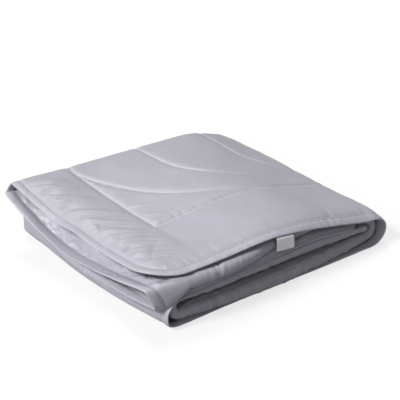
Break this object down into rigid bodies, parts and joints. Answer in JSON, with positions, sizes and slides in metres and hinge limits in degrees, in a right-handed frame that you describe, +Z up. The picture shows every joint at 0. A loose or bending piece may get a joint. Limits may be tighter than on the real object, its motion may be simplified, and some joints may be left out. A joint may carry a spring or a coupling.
{
  "type": "folded quilted duvet",
  "caption": "Thin quilted duvet folded in thirds both ways into a flat bundle, with a bound edge, curved rows of stitching and a blank loop label.",
  "frame": {"origin": "centre of the folded bundle's base, on the surface it rests on", "axes": "+Z up; +X along the bundle's long side, from the end with the free layers to the end where they wrap round; +Y from the bound open side, where the label hangs, to the closed fold at the back"},
  "size_m": [0.7173, 0.5975, 0.1538],
  "materials": {
    "cloth": "satin",
    "binding": "satin",
    "label": "matte"
  },
  "bodies": {
    "root": {"duvet": "cloth", "binding": "binding", "label": "label"}
  },
  "joints": []
}
